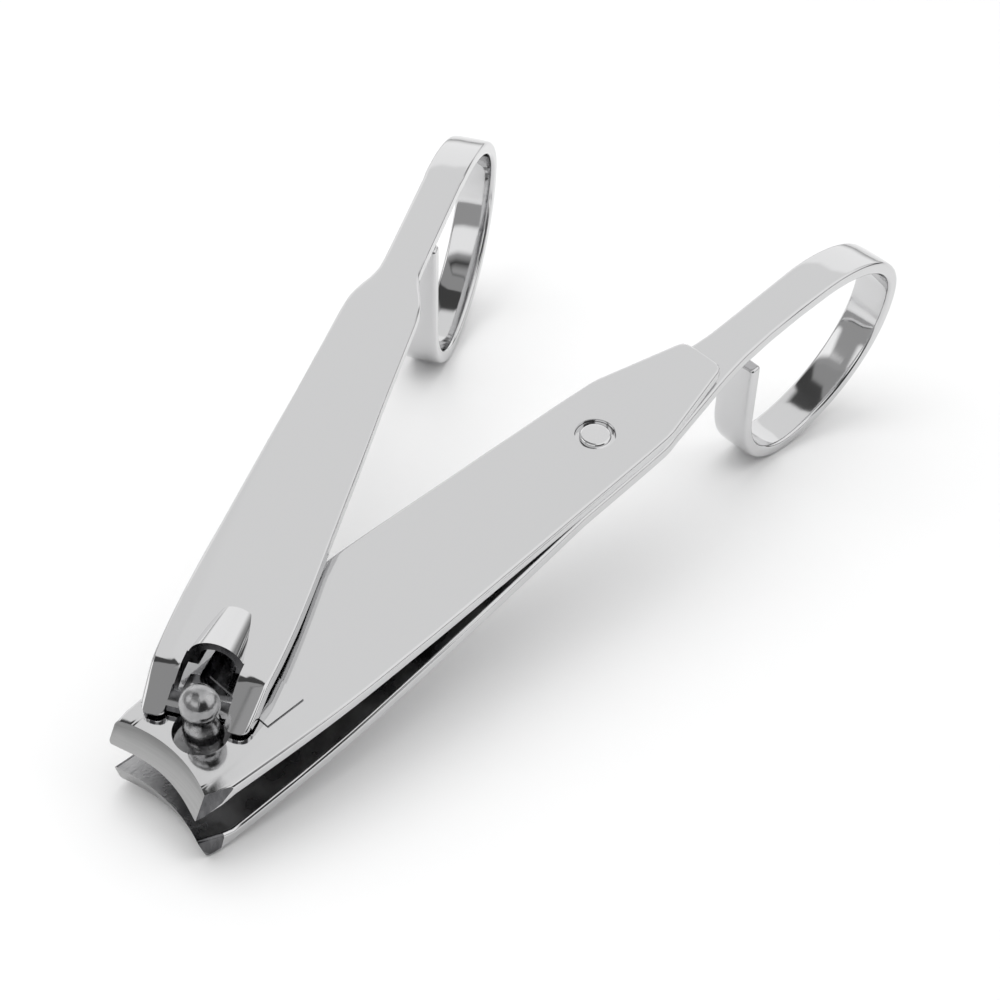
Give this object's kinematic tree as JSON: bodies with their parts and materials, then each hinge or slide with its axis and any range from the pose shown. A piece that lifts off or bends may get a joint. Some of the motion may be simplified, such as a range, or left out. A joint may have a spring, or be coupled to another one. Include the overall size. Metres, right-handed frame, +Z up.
{
  "type": "nail clipper",
  "caption": "Chrome nail clipper with concave riveted jaws, a domed pivot post, a swivelling lever and curled finger rings on lever and body.",
  "frame": {"origin": "centre of the bounding box at its bottom, on the surface the clipper rests on", "axes": "+X from the cutting edge to the tail, +Y to the side the lever is turned to, +Z up"},
  "size_m": [0.1048, 0.055, 0.0239],
  "materials": {
    "bright_chrome": "polished",
    "post_steel": "satin",
    "rivet_chrome": "polished"
  },
  "bodies": {
    "body": {"lower_jaw": "bright_chrome", "tail_rivet": "rivet_chrome"},
    "upper_jaw": {"upper_jaw": "bright_chrome"},
    "post": {"pivot_post": "post_steel"},
    "lever": {"lever": "bright_chrome"}
  },
  "joints": [
    {"name": "jaw_close", "type": "hinge", "parent": "body", "child": "upper_jaw", "pos_m": [-0.00406, -0.02047, 0.01488], "axis": [0.0116, -0.9977, -0.067], "range_deg": [0, 0.75], "stiffness_Nm_per_rad": 2},
    {"name": "lever_swivel", "type": "hinge", "parent": "body", "child": "post", "pos_m": [-0.04673, -0.02059, 0.00928], "axis": [-0.17, -0.068, 0.9831], "range_deg": [0, 300]},
    {"name": "lever_lift", "type": "hinge", "parent": "post", "child": "lever", "pos_m": [-0.0461, -0.01923, 0.01035], "axis": [0.4894, -0.8717, 0.0243], "range_deg": [0, 30]}
  ],
  "couplings": [
    {"joint": "jaw_close", "follows": "lever_lift", "ratio": 0.0233}
  ]
}
